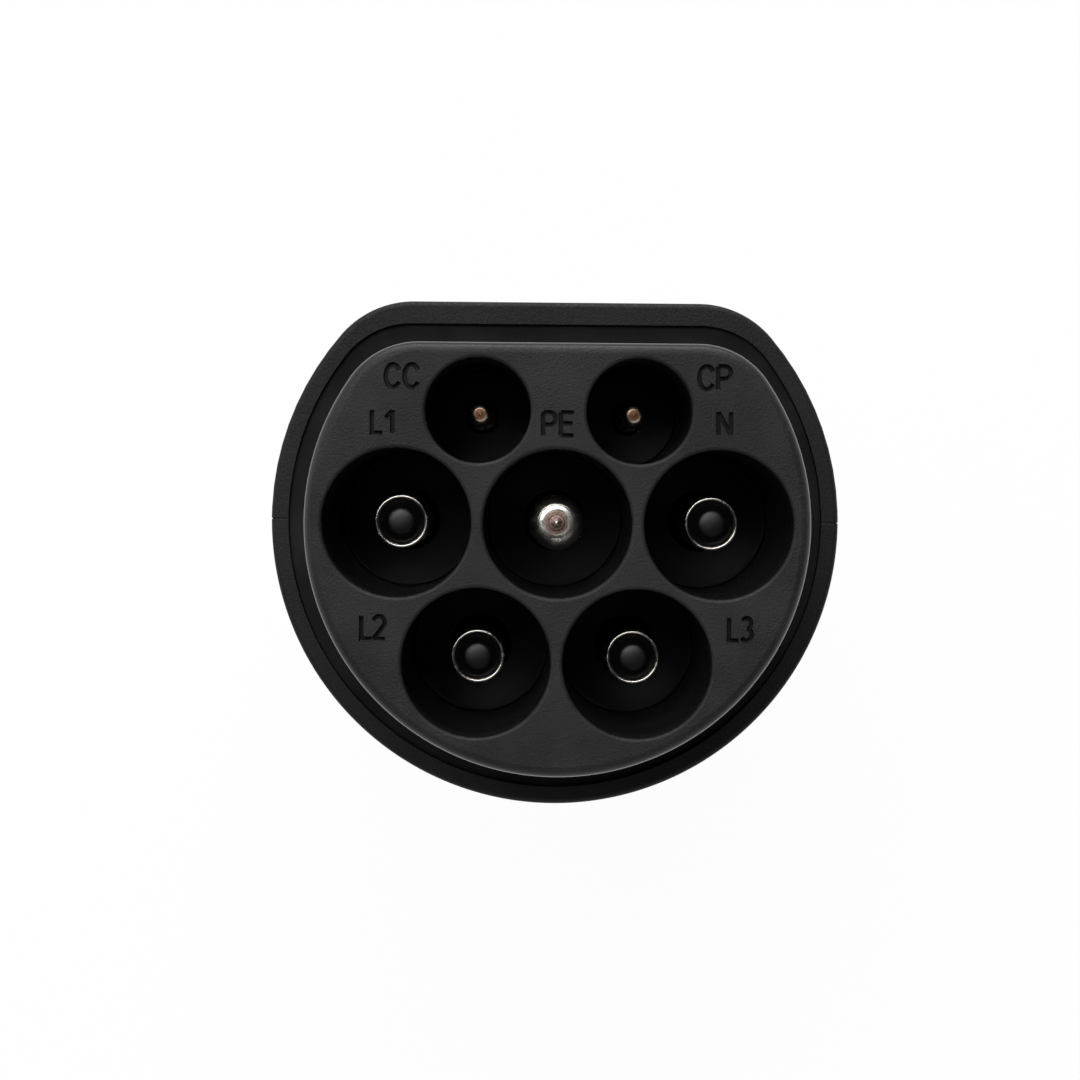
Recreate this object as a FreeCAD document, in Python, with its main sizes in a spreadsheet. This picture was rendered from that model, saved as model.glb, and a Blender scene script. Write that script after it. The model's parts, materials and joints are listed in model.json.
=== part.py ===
import FreeCAD, Part
import math
import os
import Sketcher

os.makedirs("parts", exist_ok=True)
doc = FreeCAD.newDocument("ChargingAdapter")
sheet = doc.addObject("Spreadsheet::Sheet", "Sizes")

# Driving dimensions in millimetres. The D-shaped outlines are given by the radius of the round side,
# the height of the flat side above the centre pin, and the radius of the two corners beside the flat.
SIZES = {
    "overall_length": "150",
    "plug_reach": "28",
    "block_corner": "8.8",
    "block_edge": "1.2",
    "mouth_chamfer": "0.35",
    "pin_pitch": "17",
    "signal_row": "11.9",
    "power_bore_radius": "7.875",
    "signal_bore_radius": "5.55",
    "bore_side_wall": "1.925",
    "bore_top_wall": "1.65",
    "plug_bore_depth": "36",
    "plug_back_wall": "12",
    "inlet_bore_depth": "30",
    "inlet_back_wall": "12",
    "inlet_setback": "2",
    "base_lip": "1",
    "groove_width": "4.6",
    "groove_rise": "5",
    "groove_floor": "6",
    "collar_seat_width": "0.8",
    "collar_seat_height": "2",
    "collar_wall": "2.6",
    "collar_edge": "0.8",
    "band_width": "3.8",
    "band_flat_width": "3.4",
    "rim_wall": "2",
    "rim_flat_wall": "2.6",
    "rim_corner": "11",
    "rim_edge": "0.6",
    "mouth_corner": "9.6",
    "rim_length": "12",
    "mouth_depth": "2",
    "seal_setback": "0.6",
    "seal_gap": "0.3",
    "inlet_seal_thickness": "1.5",
    "inlet_seal_setback": "0.5",
    "neck_clearance": "0.2",
    "rib_height": "1.6",
    "rib_width": "3",
    "rib_inset": "4",
    "neck_zone": "12",
    "waist_inset": "3.2",
    "waist_end_inset": "1.2",
    "shell_wall": "2.4",
    "cavity_taper": "0.8",
    "grip_count": "5",
    "grip_pitch": "4.8",
    "grip_width": "2.2",
    "grip_height": "0.9",
    "power_pin_radius": "3",
    "signal_pin_radius": "1.5",
    "power_tip_depth": "13",
    "earth_tip_depth": "9.5",
    "signal_tip_depth": "16",
    "power_root_radius": "3.6",
    "signal_root_radius": "1.9",
    "power_collar_radius": "4.6",
    "signal_collar_radius": "2.6",
    "pin_collar_thickness": "3",
    "power_barrel_radius": "3.3",
    "signal_barrel_radius": "1.6",
    "barrel_length": "12",
    "cup_depth": "9",
    "power_cup_radius": "2",
    "signal_cup_radius": "0.8",
    "earth_nose": "1.6",
    "signal_nose": "0.7",
    "seat_clearance": "0.05",
    "guard_radius": "2.55",
    "guard_sink": "1",
    "guard_rise": "1.2",
    "guard_nose": "1.7",
    "guard_stem_radius": "1.5",
    "guard_stem_length": "5",
    "retainer_thickness": "4",
    "retainer_margin": "1.2",
    "retainer_screw_inset": "3.65",
    "retainer_screw_angle": "32.7",
    "retainer_screw_radius": "1.4",
    "retainer_screw_reach": "8",
    "base_screw_reach": "4",
    "retainer_head_radius": "2.7",
    "retainer_head_height": "2",
    "power_wire_radius": "2.5",
    "power_core_radius": "1.9",
    "signal_wire_radius": "1.2",
    "signal_core_radius": "0.7",
    "strip_length": "1",
    "resistor_radius": "1.3",
    "resistor_length": "5.4",
    "resistor_lead_radius": "0.4",
    "resistor_drop": "4",
    "shell_screw_radius": "1.6",
    "shell_screw_length": "20",
    "shell_head_radius": "2.9",
    "shell_head_height": "2.2",
    "shell_head_depth": "11.5",
    "head_clearance": "0.2",
    "boss_radius": "4.4",
    "boss_neck_radius": "2.5",
    "boss_neck_reach": "5",
    "boss_clearance": "0.2",
}

# Sizes that follow from those above: the block is as large as its bores need, the lower pins stand
# at the corners of triangles with equal sides, and the screws stand clear of the pins and the edges.
FOLLOWING = {
    "block_radius": "=pin_pitch + power_bore_radius + bore_side_wall",
    "block_flat": "=signal_row + signal_bore_radius + bore_top_wall",
    "lower_row": "=pin_pitch * sqrt(3) / 2",
    "groove_depth": "=inlet_setback + inlet_bore_depth - groove_rise",
    "inlet_base_thickness": "=rib_inset + rib_width + base_lip",
    "retainer_screw_reach_out": "=block_radius - retainer_screw_inset",
    "retainer_screw_x": "=retainer_screw_reach_out * cos(retainer_screw_angle)",
    "retainer_screw_y": "=retainer_screw_reach_out * sin(retainer_screw_angle)",
    "shell_screw_x": "=pin_pitch + power_barrel_radius + boss_neck_radius + boss_clearance",
}

for row, (word, number) in enumerate({**SIZES, **FOLLOWING}.items(), start=1):
    sheet.set(f"A{row}", word)
    sheet.set(f"B{row}", number)
    sheet.setAlias(f"B{row}", word)
doc.recompute()


def size(text):
    # The number that an expression on the sheet gives now.
    return float(sheet.evalExpression(text))


def s(word):
    return f"Sizes.{word}"


# Heights along the plug's axis, counted up from the inlet's rim, and the outlines, all as expressions.
plug_face = s("overall_length")
rim_face = f"{plug_face} - {s('plug_reach')}"
plug_back = f"{plug_face} - {s('plug_bore_depth')} - {s('plug_back_wall')}"
inlet_face = s("inlet_setback")
inlet_back = f"{inlet_face} + {s('inlet_bore_depth')} + {s('inlet_back_wall')}"
inlet_base = f"{inlet_back} - {s('inlet_base_thickness')}"
collar_back = f"{s('groove_depth')} + {s('groove_floor')}"
collar_seat = f"{collar_back} - {s('collar_seat_height')}"
shell_back = f"{collar_back} + {s('inlet_seal_thickness')}"
rim_back = f"{rim_face} - {s('rim_length')}"
mouth_floor = f"{rim_face} - {s('mouth_depth')}"
pin_setback = f"{s('retainer_thickness')} + {s('barrel_length')}"
plug_barrel_mouth = f"{plug_back} - {s('retainer_thickness')} - {s('barrel_length')}"
inlet_barrel_mouth = f"{inlet_back} + {s('retainer_thickness')} + {s('barrel_length')}"


def grown(outline, by):
    # An outline moved outwards by the same amount all round.
    return tuple(f"{part} + {by}" for part in outline)


def shrunk(outline, by):
    return tuple(f"{part} - ({by})" for part in outline)


block = (s("block_radius"), s("block_flat"), s("block_corner"))
groove_wall = grown(block, s("groove_width"))
collar = grown(groove_wall, s("collar_wall"))
mouth = (
    f"{s('block_radius')} + {s('band_width')}",
    f"{s('block_flat')} + {s('band_flat_width')}",
    s("mouth_corner"),
)
rim = (
    f"{mouth[0]} + {s('rim_wall')}",
    f"{mouth[1]} + {s('rim_flat_wall')}",
    s("rim_corner"),
)
neck = grown(block, s("neck_clearance"))
waist_mid = shrunk(rim, s("waist_inset"))
waist_end = shrunk(rim, s("waist_end_inset"))

# The rim round the collar is round below and flat above, so the pins' axis stands off the middle.
axis_shift = f"({collar[0]} - ({collar[1]})) / 2"

# Contact places seen from the plug's face, with the plug's name first and the inlet's second.
POWER = {
    "l1": (f"-{s('pin_pitch')}", "0"),
    "n": (s("pin_pitch"), "0"),
    "l2": (f"-{s('pin_pitch')} / 2", f"-{s('lower_row')}"),
    "l3": (f"{s('pin_pitch')} / 2", f"-{s('lower_row')}"),
}
EARTH = {"pe": ("0", "0")}
SIGNAL = {
    "cc": (f"-{s('pin_pitch')} / 2", s("signal_row")),
    "cp": (f"{s('pin_pitch')} / 2", s("signal_row")),
}
INLET_NAME = {"cc": "pp"}
SCREW_PLACES = [
    (f"{a}{s('retainer_screw_x')}", f"{b}{s('retainer_screw_y')}")
    for a in ("", "-")
    for b in ("", "-")
]


def place(thing, x="0", y="0", z="0"):
    # Every piece stands on the shifted axis.
    thing.setExpression("Placement.Base.x", x)
    thing.setExpression("Placement.Base.y", f"{y} + {axis_shift}")
    thing.setExpression("Placement.Base.z", z)


pieces = []


def new_body(name, x="0", y="0", z="0"):
    body = doc.addObject("PartDesign::Body", name)
    body.Label = name
    place(body, x, y, z)
    pieces.append(body)
    return body


def sketch_on(body, role, z="0"):
    sketch = body.newObject("Sketcher::SketchObject", body.Name + "_sketch")
    plane = [f for f in body.Origin.OriginFeatures if f.Role == role][0]
    sketch.AttachmentSupport = (plane, [""])
    sketch.MapMode = "FlatFace"
    sketch.setExpression("AttachmentOffset.Base.z", z)
    return sketch


def bind(sketch, kind, where, expression):
    # Adds a constraint with a value and ties it to the sheet.
    index = sketch.addConstraint(Sketcher.Constraint(kind, *where, size(expression)))
    sketch.setExpression(f"Constraints[{index}]", expression)


def add_outline(sketch, outline):
    # Round side, corner, flat side and corner, each tangent to the next.
    radius, flat, corner = (size(part) for part in outline)
    rise = flat - corner
    reach = math.sqrt((radius - corner) ** 2 - rise ** 2)
    turn = math.atan2(rise, reach)
    top = FreeCAD.Vector(0, 0, 1)
    ring = Part.Circle(FreeCAD.Vector(0, 0, 0), top, radius)
    right = Part.Circle(FreeCAD.Vector(reach, rise, 0), top, corner)
    left = Part.Circle(FreeCAD.Vector(-reach, rise, 0), top, corner)
    big = sketch.addGeometry(Part.ArcOfCircle(ring, math.pi - turn, 2 * math.pi + turn), False)
    first = sketch.addGeometry(Part.ArcOfCircle(right, turn, math.pi / 2), False)
    line = sketch.addGeometry(
        Part.LineSegment(FreeCAD.Vector(reach, flat, 0), FreeCAD.Vector(-reach, flat, 0)), False
    )
    second = sketch.addGeometry(Part.ArcOfCircle(left, math.pi / 2, math.pi - turn), False)
    sketch.addConstraint(Sketcher.Constraint("Coincident", big, 3, -1, 1))
    sketch.addConstraint(Sketcher.Constraint("Tangent", big, 2, first, 1))
    sketch.addConstraint(Sketcher.Constraint("Tangent", first, 2, line, 1))
    sketch.addConstraint(Sketcher.Constraint("Tangent", line, 2, second, 1))
    sketch.addConstraint(Sketcher.Constraint("Tangent", second, 2, big, 1))
    sketch.addConstraint(Sketcher.Constraint("Horizontal", line))
    sketch.addConstraint(Sketcher.Constraint("Equal", first, second))
    bind(sketch, "Radius", (big,), outline[0])
    bind(sketch, "Radius", (first,), outline[2])
    bind(sketch, "DistanceY", (-1, 1, line, 1), outline[1])


def add_circle(sketch, x, y, radius):
    at = FreeCAD.Vector(size(x), size(y), 0)
    index = sketch.addGeometry(Part.Circle(at, FreeCAD.Vector(0, 0, 1), size(radius)), False)
    for kind, value, axis in (("DistanceX", x, -2), ("DistanceY", y, -1)):
        if value == "0":
            sketch.addConstraint(Sketcher.Constraint("PointOnObject", index, 3, axis))
        else:
            bind(sketch, kind, (-1, 1, index, 3), value)
    bind(sketch, "Radius", (index,), radius)


def add_profile(sketch, points):
    # A closed outline of straight lines, each corner tied to the sheet.
    ends = [FreeCAD.Vector(size(x), size(y), 0) for x, y in points]
    count = len(points)
    for i in range(count):
        sketch.addGeometry(Part.LineSegment(ends[i], ends[(i + 1) % count]), False)
    for i in range(count):
        sketch.addConstraint(Sketcher.Constraint("Coincident", i, 2, (i + 1) % count, 1))
    for i, corner in enumerate(points):
        for kind, value, axis in (("DistanceX", corner[0], -2), ("DistanceY", corner[1], -1)):
            if value == "0":
                sketch.addConstraint(Sketcher.Constraint("PointOnObject", i, 1, axis))
            else:
                bind(sketch, kind, (-1, 1, i, 1), value)


def check_volume(body, before, grows, name):
    doc.recompute()
    after = body.Shape.Volume
    if (after > before) != grows:
        raise ValueError(f"{name} changed the volume the wrong way: {before} to {after}")


def pad(body, z, length, *outlines):
    # Material from height z upwards, between one outline and the next.
    before = body.Shape.Volume if body.Tip else 0.0
    sketch = sketch_on(body, "XY_Plane", z)
    for outline in outlines:
        add_outline(sketch, outline)
    feature = body.newObject("PartDesign::Pad", body.Name + "_pad")
    feature.Profile = sketch
    feature.setExpression("Length", length)
    check_volume(body, before, True, feature.Name)
    return feature


def pocket(body, z, depth, upwards=False, outlines=(), circles=()):
    # A cut from height z, downwards unless upwards is asked for.
    before = body.Shape.Volume
    sketch = sketch_on(body, "XY_Plane", z)
    for outline in outlines:
        add_outline(sketch, outline)
    for x, y, radius in circles:
        add_circle(sketch, x, y, radius)
    feature = body.newObject("PartDesign::Pocket", body.Name + "_pocket")
    feature.Profile = sketch
    feature.Reversed = upwards
    feature.setExpression("Length", depth)
    check_volume(body, before, False, feature.Name)
    return feature


def edges_at(feature, z, closed):
    # Names of the edges that lie in the plane at height z: closed circles, or the outline's pieces.
    names = []
    height = size(z)
    for number, edge in enumerate(feature.Shape.Edges, start=1):
        box = edge.BoundBox
        flat = abs(box.ZMin - height) < 1e-4 and abs(box.ZMax - height) < 1e-4
        if flat and (len(edge.Vertexes) == 1) == closed:
            names.append(f"Edge{number}")
    return names


def outline_edges(feature, z, outline):
    # The outline's own edges at height z, told from others by how far they reach.
    wanted = []
    for name in edges_at(feature, z, False):
        edge = feature.Shape.getElement(name)
        points = edge.discretize(5)
        middle = points[2]
        reach = math.hypot(middle.x, middle.y)
        radius, flat = size(outline[0]), size(outline[1])
        on_arc = abs(reach - radius) < 0.01
        on_flat = abs(middle.y - flat) < 0.01
        corner_rise = flat - size(outline[2])
        corner_reach = math.sqrt((radius - size(outline[2])) ** 2 - corner_rise ** 2)
        from_corner = math.hypot(abs(middle.x) - corner_reach, middle.y - corner_rise)
        if on_arc or on_flat or abs(from_corner - size(outline[2])) < 0.01:
            wanted.append(name)
    return wanted


def dress(body, kind, feature, names, amount):
    # A fillet or a chamfer on named edges of the last feature.
    dressed = body.newObject("PartDesign::" + kind, f"{body.Name}_{kind.lower()}")
    dressed.Base = (feature, names)
    dressed.setExpression("Radius" if kind == "Fillet" else "Size", amount)
    doc.recompute()
    return dressed


def turned(name, points, x="0", y="0", z="0", nose=None):
    # A piece turned about its own axis, with a rounded end edge where it has one.
    body = new_body(name, x, y, z)
    sketch = sketch_on(body, "XZ_Plane")
    add_profile(sketch, points)
    feature = body.newObject("PartDesign::Revolution", name + "_turning")
    feature.Profile = sketch
    feature.ReferenceAxis = (sketch, ["V_Axis"])
    feature.Angle = 360
    doc.recompute()
    if nose:
        height, amount = nose
        feature = dress(body, "Fillet", feature, edges_at(feature, height, True), amount)
    return body


def turn_over(body):
    # Half a turn about the X axis, for the pieces that point down into the inlet.
    body.Placement = FreeCAD.Placement(
        body.Placement.Base, FreeCAD.Rotation(FreeCAD.Vector(1, 0, 0), 180)
    )


def bore_circles(contacts, radius):
    return [(x, y, radius) for x, y in contacts.values()]


def contact_circles(size_word, gap="0"):
    # One circle at each contact, by the size that its kind has.
    circles = bore_circles({**POWER, **EARTH}, f"{s('power_' + size_word)} + {gap}")
    return circles + bore_circles(SIGNAL, f"{s('signal_' + size_word)} + {gap}")


def sink_bores(body, face, depth, upwards):
    # The seven bores, each with its chamfered mouth.
    power = {**POWER, **EARTH}
    pocket(body, face, depth, upwards, circles=bore_circles(power, s("power_bore_radius")))
    signal = bore_circles(SIGNAL, s("signal_bore_radius"))
    cut = pocket(body, face, depth, upwards, circles=signal)
    dress(body, "Chamfer", cut, edges_at(cut, face, True), s("mouth_chamfer"))


def seat_roots(body, face, depth, upwards):
    # The holes that the pins' roots stand in.
    circles = contact_circles("root_radius", s("seat_clearance"))
    pocket(body, face, depth, upwards, circles=circles)


def seat_collars(body, back, upwards):
    # The seats of the pins' collars in a back face.
    circles = contact_circles("collar_radius", s("seat_clearance"))
    pocket(body, back, s("pin_collar_thickness"), upwards, circles=circles)


def screw_holes(body, back, depth, upwards):
    radius = f"{s('retainer_screw_radius')} + {s('seat_clearance')}"
    pocket(body, back, depth, upwards, circles=[(x, y, radius) for x, y in SCREW_PLACES])


# Plug insulator: the D-shaped block and the rib that the shells hold.
plug = new_body("plug_insulator")
plug_height = f"{s('plug_bore_depth')} + {s('plug_back_wall')}"
pad(plug, plug_back, plug_height, block)
plug_rib = f"{plug_back} + {s('rib_inset')}"
last = pad(plug, plug_rib, s("rib_width"), grown(block, s("rib_height")))
dress(plug, "Fillet", last, outline_edges(last, plug_face, block), s("block_edge"))
sink_bores(plug, plug_face, s("plug_bore_depth"), False)
seat_roots(plug, plug_face, plug_height, False)
seat_collars(plug, plug_back, True)
screw_holes(plug, plug_back, f"{s('retainer_screw_reach')} + {s('seat_clearance')}", True)

# Inlet insulator: a tower with seven bores, whose shoulder holds the collar's lip from the front.
lip = shrunk(block, s("collar_seat_width"))
inlet = new_body("inlet_insulator")
pad(inlet, inlet_face, f"{collar_seat} - ({inlet_face})", block)
pad(inlet, collar_seat, f"{inlet_base} - ({collar_seat})", shrunk(lip, s("seat_clearance")))
sink_bores(inlet, inlet_face, s("inlet_bore_depth"), True)
seat_roots(inlet, inlet_face, f"{inlet_base} - ({inlet_face})", True)
screw_holes(inlet, inlet_base, f"{s('base_screw_reach')} + {s('seat_clearance')}", False)

# Inlet base: screwed to the tower from behind, with the rib that the shells hold.
base = new_body("inlet_base")
pad(base, inlet_base, s("inlet_base_thickness"), block)
inlet_rib = f"{inlet_back} - {s('rib_inset')} - {s('rib_width')}"
pad(base, inlet_rib, s("rib_width"), grown(block, s("rib_height")))
seat_roots(base, inlet_back, s("inlet_base_thickness"), False)
seat_collars(base, inlet_back, False)
screw_holes(base, inlet_back, s("inlet_base_thickness"), False)

# Inlet collar: a sleeve round the tower, with a lip in its floor that the tower's shoulder holds.
cup = new_body("inlet_collar")
last = pad(cup, "0", collar_back, collar)
dress(cup, "Fillet", last, outline_edges(last, "0", collar), s("collar_edge"))
pocket(cup, "0", s("groove_depth"), True, outlines=[groove_wall])
pocket(cup, "0", collar_seat, True, outlines=[grown(block, s("seat_clearance"))])
pocket(cup, "0", collar_back, True, outlines=[lip])

# Seals: a ring round the foot of the plug, and one between the collar and the shells.
seal = new_body("plug_seal")
seal_outer = shrunk(mouth, s("seal_gap"))
seal_height = f"{s('mouth_depth')} - {s('seal_setback')}"
pad(seal, mouth_floor, seal_height, seal_outer, grown(block, s("seat_clearance")))

seal = new_body("inlet_seal")
seal_outer = shrunk(collar, s("inlet_seal_setback"))
pad(seal, collar_back, s("inlet_seal_thickness"), seal_outer, neck)


def retainer(name, z, open_face, over):
    # The plate that keeps the pins' collars in their seats, with its screws' heads sunk in.
    body = new_body(name)
    plate = shrunk(block, s("retainer_margin"))
    pad(body, z, s("retainer_thickness"), plate)
    top = f"{z} + {s('retainer_thickness')}"
    circles = contact_circles("barrel_radius", s("seat_clearance"))
    pocket(body, top, s("retainer_thickness"), circles=circles)
    screw_holes(body, top, s("retainer_thickness"), False)
    head = f"{s('retainer_head_radius')} + {s('head_clearance')}"
    heads = [(x, y, head) for x, y in SCREW_PLACES]
    pocket(body, open_face, s("retainer_head_height"), not over, circles=heads)


plug_plate = f"{plug_back} - {s('retainer_thickness')}"
inlet_plate = f"{inlet_back} + {s('retainer_thickness')}"
retainer("plug_retainer", plug_plate, plug_plate, False)
retainer("inlet_retainer", inlet_back, inlet_plate, True)


def contact_pin(name, kind, free, nose, guarded, x, y, z, over):
    # A turned pin: solder cup and barrel, collar, root in the wall, then the free shank.
    barrel_end = pin_setback
    collar_end = f"{barrel_end} + {s('pin_collar_thickness')}"
    root_end = f"{barrel_end} + {s('plug_back_wall')}"
    if over:
        root_end = f"{barrel_end} + {s('inlet_back_wall')}"
    tip = f"{root_end} + {free}"
    shank = s(kind + "_pin_radius")
    cup = s(kind + "_cup_radius")
    points = [
        ("0", s("cup_depth")),
        (cup, s("cup_depth")),
        (cup, "0"),
        (s(kind + "_barrel_radius"), "0"),
        (s(kind + "_barrel_radius"), barrel_end),
        (s(kind + "_collar_radius"), barrel_end),
        (s(kind + "_collar_radius"), collar_end),
        (s(kind + "_root_radius"), collar_end),
        (s(kind + "_root_radius"), root_end),
        (shank, root_end),
        (shank, tip),
    ]
    if guarded:
        socket = f"{s('guard_radius')} + {s('seat_clearance')}"
        stem = f"{s('guard_stem_radius')} + {s('seat_clearance')}"
        sink = f"{tip} - {s('guard_sink')}"
        bottom = f"{sink} - {s('guard_stem_length')} - {s('seat_clearance')}"
        points += [(socket, tip), (socket, sink), (stem, sink), (stem, bottom), ("0", bottom)]
    else:
        points += [("0", tip)]
    body = turned(name, points, x, y, z, nose and (tip, nose))
    if over:
        turn_over(body)
    return tip


def touch_guard(name, x, y, z, over):
    # The black nib in the end of a live pin: stem, seat and rounded nose.
    seat = s("guard_stem_length")
    top = f"{seat} + {s('guard_sink')} + {s('guard_rise')}"
    points = [
        ("0", "0"),
        (s("guard_stem_radius"), "0"),
        (s("guard_stem_radius"), seat),
        (s("guard_radius"), seat),
        (s("guard_radius"), top),
        ("0", top),
    ]
    body = turned(name, points, x, y, z, (top, s("guard_nose")))
    if over:
        turn_over(body)


def contact_set(side, back, depth, over):
    # All seven pins of one end, standing on the wall's back face.
    sign = "+" if over else "-"
    foot = f"{back} {sign} ({pin_setback})"
    for group, kind, nose, guarded in (
        (POWER, "power", None, True),
        (EARTH, "earth", s("earth_nose"), False),
        (SIGNAL, "signal", s("signal_nose"), False),
    ):
        free = f"({depth}) - {s(kind + '_tip_depth')}"
        stock = "power" if kind == "earth" else kind
        for pole, (x, y) in group.items():
            label = INLET_NAME.get(pole, pole) if over else pole
            tip = contact_pin(
                f"{side}_pin_{label}", stock, free, nose, guarded, x, y, foot, over
            )
            if guarded:
                sunk = f"({tip} - {s('guard_sink')} - {s('guard_stem_length')})"
                stand = f"{foot} - {sunk}" if over else f"{foot} + {sunk}"
                touch_guard(f"{side}_pin_guard_{label}", x, y, stand, over)


contact_set("plug", plug_back, s("plug_bore_depth"), False)
contact_set("inlet", inlet_back, s("inlet_bore_depth"), True)


def wire(pole, kind, x, y):
    # A straight insulated wire with its bared ends in the two solder cups.
    core = s(kind + "_core_radius")
    jacket = s(kind + "_wire_radius")
    bared = f"{s('cup_depth')} - {s('seat_clearance')} + {s('strip_length')}"
    span = f"{plug_barrel_mouth} - ({inlet_barrel_mouth})"
    whole = f"{span} + 2 * ({s('cup_depth')} - {s('seat_clearance')})"
    points = [
        ("0", "0"),
        (core, "0"),
        (core, bared),
        (jacket, bared),
        (jacket, f"{whole} - ({bared})"),
        (core, f"{whole} - ({bared})"),
        (core, whole),
        ("0", whole),
    ]
    foot = f"{inlet_barrel_mouth} - {s('cup_depth')} + {s('seat_clearance')}"
    turned("wire_" + pole, points, x, y, foot)


for pole, (x, y) in {**POWER, **EARTH}.items():
    wire(pole, "power", x, y)
wire("cp", "signal", *SIGNAL["cp"])

# Coding resistor: lies between the barrels of the plug's CC and PE pins, one lead soldered to each.
run_x = s("pin_pitch") + " / 2"
run_y = s("signal_row")
run = f"sqrt(({run_x})^2 + ({run_y})^2)"
lead_room = f"{run} - {s('power_barrel_radius')} - {s('signal_barrel_radius')}"
half_lead = f"({lead_room} - 2 * {s('seat_clearance')} - {s('resistor_length')}) / 2"
points = [
    ("0", "0"),
    (s("resistor_lead_radius"), "0"),
    (s("resistor_lead_radius"), half_lead),
    (s("resistor_radius"), half_lead),
    (s("resistor_radius"), f"{half_lead} + {s('resistor_length')}"),
    (s("resistor_lead_radius"), f"{half_lead} + {s('resistor_length')}"),
    (s("resistor_lead_radius"), f"2 * {half_lead} + {s('resistor_length')}"),
    ("0", f"2 * {half_lead} + {s('resistor_length')}"),
]
from_earth = f"({s('power_barrel_radius')} + {s('seat_clearance')}) / {run}"
resistor = turned(
    "coding_resistor",
    points,
    f"-{run_x} * {from_earth}",
    f"{run_y} * {from_earth}",
    f"{plug_back} - {s('retainer_thickness')} - {s('resistor_drop')}",
)
toward = FreeCAD.Vector(-size(run_x), size(run_y), 0)
resistor.Placement = FreeCAD.Placement(
    resistor.Placement.Base, FreeCAD.Rotation(FreeCAD.Vector(0, 0, 1), toward)
)


def free_sketch(name, outline, z):
    # A sketch that belongs to no body, for the lofts and extrusions of the shells.
    sketch = doc.addObject("Sketcher::SketchObject", name)
    sketch.setExpression("Placement.Base.z", z)
    add_outline(sketch, outline)
    return sketch


def slab(name, outline, z, height):
    extrusion = doc.addObject("Part::Extrusion", name)
    extrusion.Base = free_sketch(name + "_outline", outline, z)
    extrusion.DirMode = "Custom"
    extrusion.Dir = FreeCAD.Vector(0, 0, 1)
    extrusion.Solid = True
    extrusion.setExpression("LengthFwd", height)
    return extrusion


def loft(name, sections):
    lofted = doc.addObject("Part::Loft", name)
    lofted.Sections = [
        free_sketch(f"{name}_outline_{i}", outline, z) for i, (outline, z) in enumerate(sections)
    ]
    lofted.Solid = True
    lofted.Ruled = False
    return lofted


def cylinder(name, radius, height, x, y, z, along_y=False):
    rod = doc.addObject("Part::Cylinder", name)
    if along_y:
        rod.Placement = FreeCAD.Placement(
            FreeCAD.Vector(0, 0, 0), FreeCAD.Rotation(FreeCAD.Vector(1, 0, 0), -90)
        )
    rod.setExpression("Radius", radius)
    rod.setExpression("Height", height)
    rod.setExpression("Placement.Base.x", x)
    rod.setExpression("Placement.Base.y", y)
    rod.setExpression("Placement.Base.z", z)
    return rod


def fuse(name, shapes):
    fused = doc.addObject("Part::MultiFuse", name)
    fused.Shapes = shapes
    return fused


def cut(name, base, tool):
    less = doc.addObject("Part::Cut", name)
    less.Base = base
    less.Tool = tool
    return less


# Shells: the outside first, a ring at each end and a waist that draws in between them.
back_ring_end = f"{shell_back} + {s('neck_zone')}"
middle = f"({back_ring_end} + {rim_back}) / 2"
outside = [
    slab("back_ring", collar, shell_back, s("neck_zone")),
    loft("waist", [(waist_end, back_ring_end), (waist_mid, middle), (waist_end, rim_back)]),
]
front_ring = doc.addObject("PartDesign::Body", "front_ring")
last = pad(front_ring, rim_back, s("rim_length"), rim)
dress(front_ring, "Fillet", last, edges_at(last, rim_face, False), s("rim_edge"))
outside.append(front_ring)
grip_width = s("grip_width")
ridge = shrunk(rim, f"{s('waist_inset')} - {s('grip_height')}")
for i in range(int(size(s("grip_count")))):
    offset = f"({i} - ({s('grip_count')} - 1) / 2) * {s('grip_pitch')} - {grip_width} / 2"
    outside.append(slab(f"grip_{i}", ridge, f"{middle} + {offset}", grip_width))
shell_outside = fuse("shell_outside", outside)

# Then the room inside, less the screw bosses, which so grow out of the walls.
rib_room = grown(block, f"{s('rib_height')} + {s('neck_clearance')}")
rib_room_width = f"{s('rib_width')} + 2 * {s('neck_clearance')}"
cavity_back = f"{inlet_back} + {s('neck_clearance')}"
cavity_front = f"{plug_back} - {s('neck_clearance')}"
cavity_end = shrunk(waist_end, f"{s('shell_wall')} + {s('cavity_taper')}")
cavity_mid = shrunk(waist_mid, s("shell_wall"))
inside = [
    slab("back_neck", neck, shell_back, f"{cavity_back} - ({shell_back})"),
    slab("back_rib_room", rib_room, f"{inlet_rib} - {s('neck_clearance')}", rib_room_width),
    loft("cavity", [(cavity_end, cavity_back), (cavity_mid, middle), (cavity_end, cavity_front)]),
    slab("front_rib_room", rib_room, f"{plug_rib} - {s('neck_clearance')}", rib_room_width),
    slab("front_neck", neck, cavity_front, f"{mouth_floor} - ({cavity_front})"),
    slab("mouth_room", mouth, mouth_floor, s("mouth_depth")),
]
shell_room = fuse("shell_room", inside)
front_screw_z = f"{plug_plate} - {s('boss_radius')} - {s('boss_clearance')}"
back_screw_z = f"2 * {middle} - ({front_screw_z})"
screw_places = [
    (f"{side}{s('shell_screw_x')}", z) for side in ("", "-") for z in (back_screw_z, front_screw_z)
]
bosses = []
holes = []
gap = s("seat_clearance")
drop = f"-{s('shell_head_depth')}"
boss_reach = f"{s('block_radius')} - {s('boss_neck_reach')}"
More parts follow.
